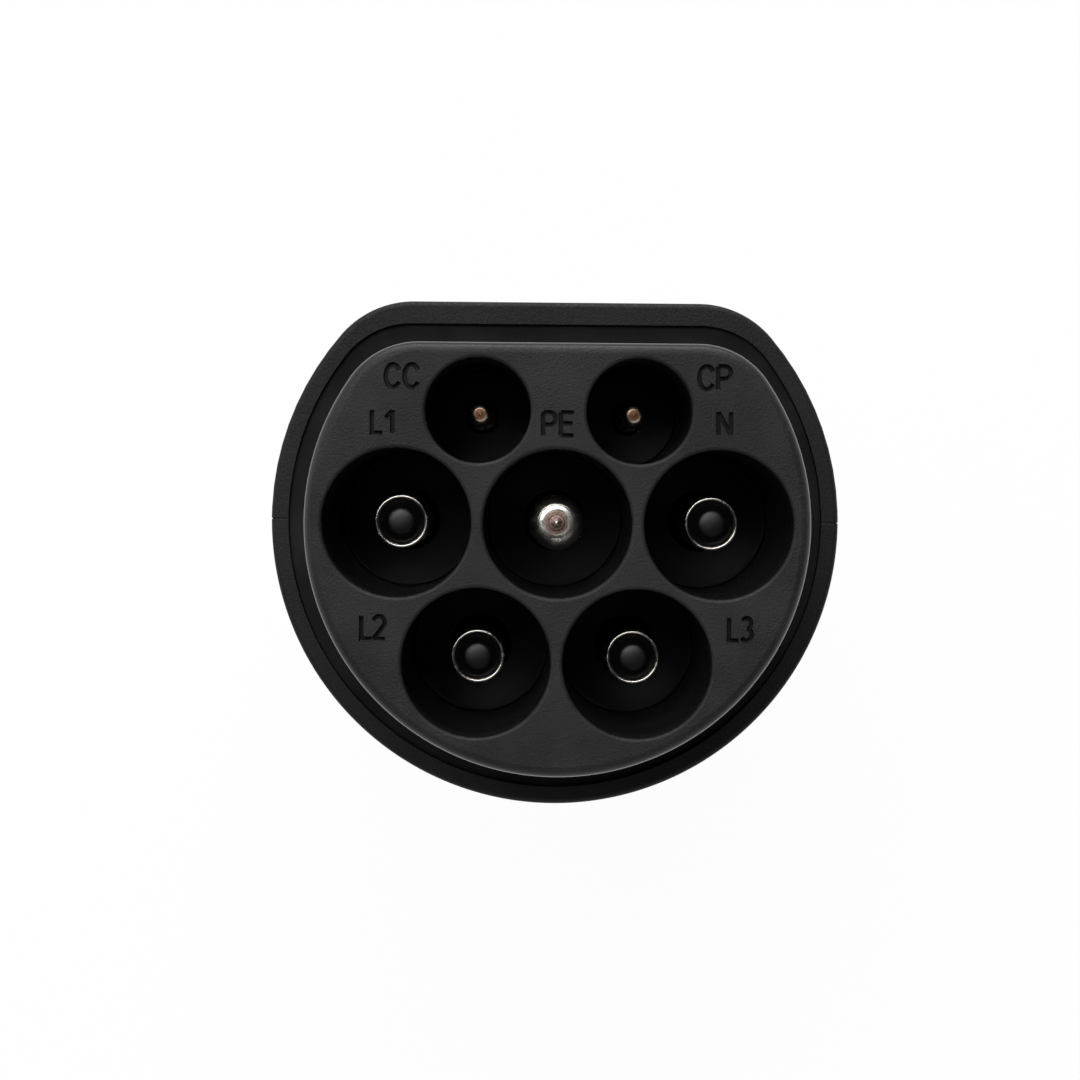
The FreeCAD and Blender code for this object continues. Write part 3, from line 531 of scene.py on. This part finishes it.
def markCutters(look):
    # The strokes of all the marks in four sets, by the letter's place and the stroke's set, so that none in a
    # set meet: cutters that meet in one exact Boolean make the whole body vanish.
    sets = [], [], [], []
    for mark, (x, y, width, height) in look["marks"].items():
        gap = letterGap.get(mark, 0)
        advance = np.cumsum([0] + [letters[letter][2] + gap for letter in mark])
        whole = advance[-1] - gap
        for place, letter in enumerate(mark):
            for turn, strokes in enumerate(letters[letter][:2]):
                for path in strokes:
                    path = (np.asarray(path, float) + [advance[place], 0]) / [whole, 1] - 0.5
                    sets[2 * place + turn].append(strokeCutter(path * [width, height] + [x, y], look))
    return sets


def plugRows(look):
    # Up the block's side from the back, round the clamped rib, to the rounded edge of the face.
    top = look["face"] - look["edge"]
    low, high = look["rib"]
    rib = block + look["ribProud"]
    return np.vstack([
        level(block, look["back"]), level(block, low), level(rib, low), level(rib, high), level(block, high),
        level(block, look["support"]), roundEdge(block, -look["edge"], top, look["edge"], 0, 90, 12),
    ])


plugBody = gridMesh("plugInsulator", dSurface(plugRows(plugLook)))
plugBody = carved(plugBody, boreCutters(plugLook, 1))
for strokes in markCutters(plugLook):
    plugBody = carved(plugBody, strokes)
makePiece("plugInsulator", plugBody, nylonBlack, "insulator", "plug_insulator")
print("plug insulator:", len(plugBody.polygons), "faces")


shellLook = {
    "back": 34.5, "waistBack": 46.5, "waistFront": 110, "face": 122, "faceEdge": 0.6, "mouthEdge": 0.08,
    "mouthFloor": 120, "insetEnd": 1.2, "insetMiddle": 3.2, "wall": 2.4, "taper": 0.8,
    "grips": 5, "gripPitch": 4.8, "gripInset": 2.3, "gripTop": 0.74, "gripFoot": 1.16,
    "partingRound": 0.17, "partingAtGrips": 0.03, "partingAtMouth": 0.06, "gripsReach": 11.3, "mouthRows": 6,
    "backEdge": 0.5, "ringEdge": 0.9, "innerEdge": 0.4,
    "neckGap": 0.2, "grooveDepth": 1.8, "plugGroove": (105.8, 109.2), "inletGroove": (36.8, 40.2),
    "cavity": (44.2, 101.8),
}


def waistRows(look):
    # The waist draws in as a parabola; each grip lifts it to its own level between gripTop and gripFoot by a
    # smooth step.
    middle = (look["waistBack"] + look["waistFront"]) / 2
    half = middle - look["waistBack"]
    crests = middle + (np.arange(look["grips"]) - (look["grips"] - 1) / 2) * look["gripPitch"]
    # Rows lie close together at the edges of the grips and further apart between them.
    fine = np.concatenate([np.linspace(0, 0.6, 3), np.linspace(0.7, 1.2, 11), [1.5]])
    near = (crests[:, None] + np.concatenate([-fine[::-1], fine[1:]])[None, :]).ravel()
    plain = np.linspace(look["waistBack"] + 0.6, look["waistFront"] - 0.5, 50)
    plain = plain[(plain < near.min() - 0.4) | (plain > near.max() + 0.4)]
    height = np.unique(np.concatenate([plain, near]))
    inset = look["insetMiddle"] - (look["insetMiddle"] - look["insetEnd"]) * ((height - middle) / half) ** 2
    away = np.abs(height[:, None] - crests[None, :]).min(axis=1)
    step = np.clip((look["gripFoot"] - away) / (look["gripFoot"] - look["gripTop"]), 0, 1)
    step = step * step * (3 - 2 * step)
    inset = inset + (look["gripInset"] - inset) * step
    return np.hstack([rim[None, :] - inset[:, None], height[:, None]])


def shellProfile(look):
    # Outside from the back ring to the front face, then back through the mouth, the neck and the cavity.
    waistEnd = rim - look["insetEnd"]
    back, ring, inner = look["backEdge"], look["ringEdge"], look["innerEdge"]
    faceEdge, mouthEdge = look["faceEdge"], look["mouthEdge"]
    outside = np.vstack([
        roundEdge(collar, -back, look["back"] + back, back, -90, 0, 6),
        roundEdge(collar, -ring, look["waistBack"] - ring, ring, 0, 90, 9),
        roundEdge(waistEnd, back, look["waistBack"] + back, back, 270, 190, 5),
        waistRows(look),
        roundEdge(waistEnd, inner, look["waistFront"] - inner, inner, 170, 90, 5),
        roundEdge(rim, -inner, look["waistFront"] + inner, inner, -90, 0, 6),
        roundEdge(rim, -faceEdge, look["face"] - faceEdge, faceEdge, 0, 90, 14),
        roundEdge(mouth, mouthEdge, look["face"] - mouthEdge, mouthEdge, 90, 180, look["mouthRows"]),
    ])
    middle = (look["waistBack"] + look["waistFront"]) / 2
    cavityEnd = waistEnd - look["wall"] - look["taper"]
    cavityMiddle = rim - look["insetMiddle"] - look["wall"]
    neck, groove = block + look["neckGap"], block + look["grooveDepth"]
    plugLow, plugHigh = look["plugGroove"]
    inletLow, inletHigh = look["inletGroove"]
    cavityLow, cavityHigh = look["cavity"]
    inside = np.vstack([
        level(mouth, look["mouthFloor"]), level(neck, look["mouthFloor"]),
        level(neck, plugHigh), level(groove, plugHigh), level(groove, plugLow), level(neck, plugLow),
        level(neck, cavityHigh), level(cavityEnd, cavityHigh), level(cavityMiddle, middle),
        level(cavityEnd, cavityLow), level(neck, cavityLow),
        level(neck, inletHigh), level(groove, inletHigh), level(groove, inletLow), level(neck, inletLow),
        level(neck, look["back"]),
    ])
    return outside, inside


def halfShell(name, part, look):
    # The profile swept along half the D; beside the parting plane the outside sinks along its normal as a
    # small round, a smaller one at the grips and the mouth, whose own edges are too tight for it.
    outside, inside = shellProfile(look)
    profile = np.vstack([outside, inside])
    near = np.array([0, 0.02, 0.05, 0.09, 0.13, 0.17, 0.3, 0.6])  # mm from the parting plane
    points = dSurface(profile, part, near)
    slope = np.gradient(np.column_stack([outside[:, 0], outside[:, 3]]), axis=0)
    normal = np.column_stack([slope[:, 1], -slope[:, 0]])
    normal /= np.linalg.norm(normal, axis=1)[:, None]
    radius = np.full((len(outside), 1), look["partingRound"])
    middle = (look["waistBack"] + look["waistFront"]) / 2
    radius[np.abs(outside[:, 3] - middle) < look["gripsReach"]] = look["partingAtGrips"]
    radius[-look["mouthRows"]:] = look["partingAtMouth"]
    away = np.clip(radius - np.abs(points[:len(outside), :, 1]), 0, radius)
    sink = radius - np.sqrt(radius ** 2 - away ** 2)
    side = np.sign(points[:len(outside), :, 0])
    points[:len(outside), :, 0] -= side * sink * normal[:, 0:1]
    points[:len(outside), :, 2] -= sink * normal[:, 1:2]
    return gridMesh(name, points, loopRows=True, openColumns=True)


screwLook = {
    "across": 23.0, "heights": (63.1, 93.4), "seat": -11.5, "hole": 3.1, "holeEnd": -34.0,
    "headRadius": 2.9, "headHeight": 2.2, "headEdge": 0.9, "shankRadius": 1.6, "shankLength": 20,
    "flatRadius": 1.7, "lobe": 1.25, "lobeSwing": 0.22, "recess": 1.3,
    "recessBevel": 0.12, "recessTaper": (1.07, 1.0, 0.97),  # at the mouth, the bevel's end and the foot
}


def screwPlaces(look):
    return [(side * look["across"], height) for side in (-1, 1) for height in look["heights"]]


def layOnY(points, x, z):
    # A turned piece's own axis laid along +Y: (x, y, z) becomes (x, z, -y), then moved to its place.
    return np.stack([points[..., 0] + x, points[..., 2], z - points[..., 1]], axis=-1)


upperMesh = halfShell("upperShell", "upper", shellLook)
makePiece("upperShell", upperMesh, shellBlack, "shell", "upper_shell")
lowerMesh = halfShell("lowerShell", "lower", shellLook)
headHoles = []
for x, z in screwPlaces(screwLook):
    hole = [(screwLook["hole"], screwLook["holeEnd"]), (screwLook["hole"], screwLook["seat"])]
    headHoles.append(gridMesh("headHole", layOnY(turnedSurface(hole, (0, 0), count=96), x, z)))
lowerMesh = carved(lowerMesh, headHoles)
makePiece("lowerShell", lowerMesh, shellBlack, "shell", "lower_shell", sharpAbove=32)
print("shells:", len(upperMesh.polygons), len(lowerMesh.polygons), "faces")


def screwSurface(look):
    # Shank, pan head with a rounded edge, and a six-lobed recess of radius lobe + lobeSwing cos 6a.
    seat, top = look["seat"], look["seat"] - look["headHeight"]
    radius, edge = look["headRadius"], look["headEdge"]
    head = np.vstack([
        [(look["shankRadius"], seat + look["shankLength"]), (look["shankRadius"], seat), (radius, seat)],
        roundCorner(radius - edge, -(top + edge), edge, 0, 78, 9) * [1, -1],
        [(look["flatRadius"], top)],
    ])
    outer = turnedSurface(head, (0, 0), count=96)
    angle = np.linspace(0, 2 * np.pi, 96, endpoint=False)
    lobe = look["lobe"] + look["lobeSwing"] * np.cos(6 * angle)
    depths = np.array([top, top + look["recessBevel"], top + look["recess"]])[:, None]
    shrink = np.array(look["recessTaper"])[:, None]
    inner = np.dstack([shrink * lobe * np.cos(angle), shrink * lobe * np.sin(angle), depths + 0 * lobe])
    return np.concatenate([outer, inner])


screws = [gridMesh("screw", layOnY(screwSurface(screwLook), x, z)) for x, z in screwPlaces(screwLook)]
makePiece("shellScrews", joined("shellScrews", screws), zincPlate, "screw", "shell_screws")
print("screws made")


sealLook = {
    "plug": {"inner": block + 0.03, "outer": mouth - 0.03, "low": 120, "high": 121.4, "edge": 0.06},
    "inlet": {"inner": block + 0.2, "outer": collar - 0.55, "low": 33, "high": 34.5, "edge": 0.6},
    "innerEdge": 0.2,
}


def sealRing(name, look, soft):
    # Inside wall, soft top edges, outside wall and soft outer lower edge, closed on itself.
    edge, low, high = look["edge"], look["low"], look["high"]
    rows = np.vstack([
        level(look["inner"], low),
        roundEdge(look["inner"], soft, high - soft, soft, 180, 90, 4),
        roundEdge(look["outer"], -edge, high - edge, edge, 90, 0, 7),
        roundEdge(look["outer"], -edge, low + edge, edge, 0, -90, 7),
    ])
    return gridMesh(name, dSurface(rows), loopRows=True)


for side in ("plug", "inlet"):
    ring = sealRing(f"{side}Seal", sealLook[side], sealLook["innerEdge"])
    makePiece(f"{side}Seal", ring, rubberBlack, "seal", f"{side}_seal")
print("seals made")


inletLook = {
    "face": 2, "floor": 32, "foot": 36, "edge": 0.5, "flare": 0.38, "footRound": 0.04,
    "powerBore": 7.875, "signalBore": 5.55,
    "shoulder": 31, "lip": 0.8, "lipGap": 0.05, "grooveFloor": 27, "collarBack": 33,
    "rimEdge": 0.8, "wallEdge": 0.35, "floorEdge": 0.4, "backEdge": 0.5,
}


def collarRows(look):
    # From the rounded rim along the groove's wall and floor to the lip, and back along the outside.
    rimEdge, wallEdge, floorEdge = look["rimEdge"], look["wallEdge"], look["floorEdge"]
    clear, lip = block + look["lipGap"], block - look["lip"]
    floor, shoulder, back = look["grooveFloor"], look["shoulder"], look["collarBack"]
    return np.vstack([
        roundEdge(collar, -rimEdge, rimEdge, rimEdge, 0, -90, 9),
        roundEdge(grooveWall, wallEdge, wallEdge, wallEdge, 270, 180, 6),
        roundEdge(grooveWall, -floorEdge, floor - floorEdge, floorEdge, 0, 90, 5),
        level(clear, floor), level(clear, shoulder), level(lip, shoulder), level(lip, back),
        roundEdge(collar, -look["backEdge"], back - look["backEdge"], look["backEdge"], 90, 0, 6),
    ])


def towerRows(look):
    # Up from the rounded edge of the tower's face to its shoulder, then the foot inside the lip.
    foot = block - look["lip"] - look["lipGap"]
    return np.vstack([
        roundEdge(block, -look["edge"], look["face"] + look["edge"], look["edge"], -90, 0, 8),
        level(block, look["shoulder"]), level(foot, look["shoulder"]), level(foot, look["foot"]),
    ])


collarBody = gridMesh("inletCollar", dSurface(collarRows(inletLook)), loopRows=True)
makePiece("inletCollar", collarBody, shellBlack, "shell", "inlet_collar")
towerBody = gridMesh("inletInsulator", dSurface(towerRows(inletLook)))
towerBody = carved(towerBody, boreCutters(inletLook, -1))
makePiece("inletInsulator", towerBody, nylonBlack, "insulator", "inlet_insulator")
print("inlet made:", len(towerBody.polygons), "faces")


pinLook = {
    "power": {
        "shank": 3.0, "root": 3.6, "collar": 4.6, "barrel": 3.3, "cup": 2.0, "tip": 13.0,
        "lip": 0.26, "lipInside": 2.72, "lipFine": 0.1, "socket": 2.62, "stemHole": 1.55, "stemDepth": 6.05,
    },
    "earth": {
        "shank": 3.0, "root": 3.6, "collar": 4.6, "barrel": 3.3, "cup": 2.0, "tip": 9.5,
        "nose": 1.6, "pip": 0.24,
    },
    "signal": {
        "shank": 1.5, "root": 1.9, "collar": 2.6, "barrel": 1.6, "cup": 0.8, "tip": 16.0,
        "nose": 1.0, "pip": 0.16,
    },
    "wall": 12, "collarHeight": 3, "barrelEnd": -16, "cupFloor": -7, "pipHeight": 0.5,
    "guardRadius": 2.55, "guardStem": 1.5, "guardTop": 1.55, "guardRise": 1.2, "guardDome": 0.32,
    "guardSkirt": 0.4, "guardSeat": 1, "guardStemDepth": 6,
}


def pinProfile(common, look, depth):
    # Heights from the wall's back face: solder cup and barrel, collar, root in the wall, shank and end.
    wall, collarTop, barrelEnd = common["wall"], common["collarHeight"], common["barrelEnd"]
    tip = wall + depth - look["tip"]
    shank = look["shank"]
    foot = [
        (look["cup"], common["cupFloor"]), (look["cup"], barrelEnd), (look["barrel"], barrelEnd),
        (look["barrel"], 0), (look["collar"], 0), (look["collar"], collarTop), (look["root"], collarTop),
        (look["root"], wall), (shank, wall),
    ]
    if "nose" in look:
        nose = look["nose"]
        flat = shank - nose
        ease = 0.03
        end = np.vstack([
            roundCorner(flat, tip - nose, nose, 0, 86, 14),
            [(flat - 2 * ease, tip), (look["pip"] + ease, tip)],
            ellipseArc(0, tip, look["pip"], look["pip"] * common["pipHeight"], 6, 84, 7),
        ])
    else:
        lip, fine, seat = look["lip"], look["lipFine"], tip - common["guardSeat"]
        end = np.vstack([
            roundCorner(shank - lip, tip - lip, lip, 0, 90, 9),
            roundCorner(look["lipInside"], tip - fine, fine, 90, 180, 6),
            [(look["socket"], seat), (look["stemHole"], seat), (look["stemHole"], tip - look["stemDepth"])],
        ])
    return np.vstack([foot, end]), tip


def guardProfile(look, tip):
    # The nib's end is a steep shoulder, and on it a low dome of its own: (top cos a, dome sin a).
    radius, top, dome = look["guardRadius"], look["guardTop"], look["guardDome"]
    shoulder, stem, seat = tip + look["guardRise"] - dome, look["guardStem"], tip - look["guardSeat"]
    return np.vstack([
        [(stem, tip - look["guardStemDepth"]), (stem, seat)],
        [(radius, seat), (radius, tip - look["guardSkirt"])],
        ellipseArc(0, shoulder, top, dome, 20, 88, 14),
    ])


def pinSet(side, look, up, names):
    # The pins of one end, which stand on the back of the wall behind its bores.
    foot = look["floor"] - up * pinLook["wall"]
    depth = abs(look["face"] - look["floor"])
    for pole, across in poles.items():
        kind = "power" if pole in livePoles else "earth" if pole == "pe" else "signal"
        label = names.get(pole, pole)
        profile, tip = pinProfile(pinLook, pinLook[kind], depth)
        mesh = gridMesh(f"{side}Pin", turnedSurface(profile, across, up, foot))
        metal = {"power": silverPlate, "earth": wornSilver, "signal": brightBrass}[kind]
        slot = "signal_pin" if kind == "signal" else "power_pin"
        makePiece(f"{side}Pin{label.upper()}", mesh, metal, slot, f"{side}_pin_{label}", sharpAbove=30)
        if kind == "power":
            mesh = gridMesh(f"{side}Guard", turnedSurface(guardProfile(pinLook, tip), across, up, foot))
            name, node = f"{side}Guard{label.upper()}", f"{side}_pin_guard_{label}"
            makePiece(name, mesh, nibBlack, "guard", node, sharpAbove=30)


pinSet("plug", plugLook, 1, {})
pinSet("inlet", inletLook, -1, {"cc": "pp"})
print("pins and guards made")


# The pieces that stay as the CAD model has them get a finish by their slot.
insideFinish = {"retainer": plateBlack, "wire": wireBlack, "resistor": lacquerTan, "screw": zincPlate}
slotOf = {part["node"]: part["material_slot"] for part in frame["record"]["subparts"]}
for name, node in frame["nodes"].items():
    finish = insideFinish.get(slotOf.get(name))
    if finish:
        for place in node.material_slots:
            place.material = finish
print("inside pieces finished")


studio = {  # metres and watts
    "floorShade": "#ececec", "floorGlow": 0.97, "floorHalf": 4.0, "floorDrop": 0.00004,
    "ceilingShade": "#c8ccd0", "ceilingLevel": 0.05, "horizonLevel": 0.4,
    "horizon": (0.42, 0.3),  # sines of the rise between which the ceiling turns into the backdrop
    "lamps": {
        "above": {"at": (-0.19, 0.47, 1.08), "size": (0.8, 0.6), "power": 9.3},
        "front": {"at": (0.05, -0.50, 0.70), "size": (0.5, 0.3), "power": 1.0},
        "left": {"at": (-0.62, 0.10, 0.36), "size": (0.3, 0.4), "power": 0.6},
        "back": {"at": (-0.05, 0.95, 0.42), "size": (0.9, 0.45), "power": 9.0},
    },
    "aim": (0, 0.004, 0.13),
}


def seenDirectly(tree):
    # 1 for rays from the camera, off a gloss or through glass, else 0.
    path = addNode(tree, "ShaderNodeLightPath")
    first = addNode(tree, "ShaderNodeMath", {
        0: path.outputs["Is Camera Ray"], 1: path.outputs["Is Glossy Ray"],
    }, operation="MAXIMUM")
    return addNode(tree, "ShaderNodeMath", {
        0: first.outputs[0], 1: path.outputs["Is Transmission Ray"],
    }, operation="MAXIMUM")


def makeFloor(look):
    # A pale board just under the object: a direct look sees it nearly white, and it keeps the shadow.
    mesh = bpy.data.meshes.new("floor")
    square = np.array([(-1, -1, 0), (1, -1, 0), (1, 1, 0), (-1, 1, 0)])
    corner = square * look["floorHalf"] - [0, 0, look["floorDrop"]]
    mesh.from_pydata(corner.tolist(), [], [(0, 1, 2, 3)])
    floor = bpy.data.objects.new("floor", mesh)
    scene.collection.objects.link(floor)
    material, tree, shader = newMaterial("paintedBoard", Roughness=0.8)
    shader.inputs["Base Color"].default_value = linear(look["floorShade"])
    glow = addNode(tree, "ShaderNodeEmission", {"Strength": 1.0})
    part = addNode(tree, "ShaderNodeMath", {
        0: seenDirectly(tree).outputs[0], 1: look["floorGlow"],
    }, operation="MULTIPLY")
    mix = addNode(tree, "ShaderNodeMixShader", {
        0: part.outputs[0], 1: shader.outputs[0], 2: glow.outputs[0],
    })
    tree.links.new(mix.outputs[0], tree.nodes["Material Output"].inputs["Surface"])
    mesh.materials.append(material)


def makeWorld(look):
    # A pale backdrop all round, seen as white below 17 degrees of rise, under a dim ceiling.
    world = bpy.data.worlds.new("studio")
    world.use_nodes = True
    tree = world.node_tree
    where = addNode(tree, "ShaderNodeTexCoord").outputs["Generated"]
    rise = addNode(tree, "ShaderNodeSeparateXYZ", {"Vector": where})
    ceiling, backdrop = look["horizon"]
    low = addNode(tree, "ShaderNodeMapRange", {
        "Value": rise.outputs["Z"], "From Min": ceiling, "From Max": backdrop,
    })
    strength = addNode(tree, "ShaderNodeMapRange", {
        "Value": low.outputs[0], "To Min": look["ceilingLevel"], "To Max": look["horizonLevel"],
    })
    shade = tree.nodes["Background"]
    shade.inputs["Color"].default_value = linear(look["ceilingShade"])
    tree.links.new(strength.outputs[0], shade.inputs["Strength"])
    seen = addNode(tree, "ShaderNodeMath", {
        0: seenDirectly(tree).outputs[0], 1: low.outputs[0],
    }, operation="MULTIPLY")
    white = addNode(tree, "ShaderNodeBackground", {"Color": (1, 1, 1, 1), "Strength": 1.0})
    mix = addNode(tree, "ShaderNodeMixShader", {
        0: seen.outputs[0], 1: shade.outputs[0], 2: white.outputs[0],
    })
    tree.links.new(mix.outputs[0], tree.nodes["World Output"].inputs["Surface"])
    scene.world = world


def makeLamps(look):
    for name, lamp in look["lamps"].items():
        light = bpy.data.lights.new(name, "AREA")
        light.shape = "RECTANGLE"
        light.size, light.size_y = lamp["size"]
        light.energy = lamp["power"]
        holder = bpy.data.objects.new(name, light)
        holder.location = lamp["at"]
        aim = Vector(look["aim"]) - Vector(lamp["at"])
        holder.rotation_euler = aim.to_track_quat("-Z", "Y").to_euler()
        scene.collection.objects.link(holder)


makeFloor(studio)
makeWorld(studio)
makeLamps(studio)
print("studio set")
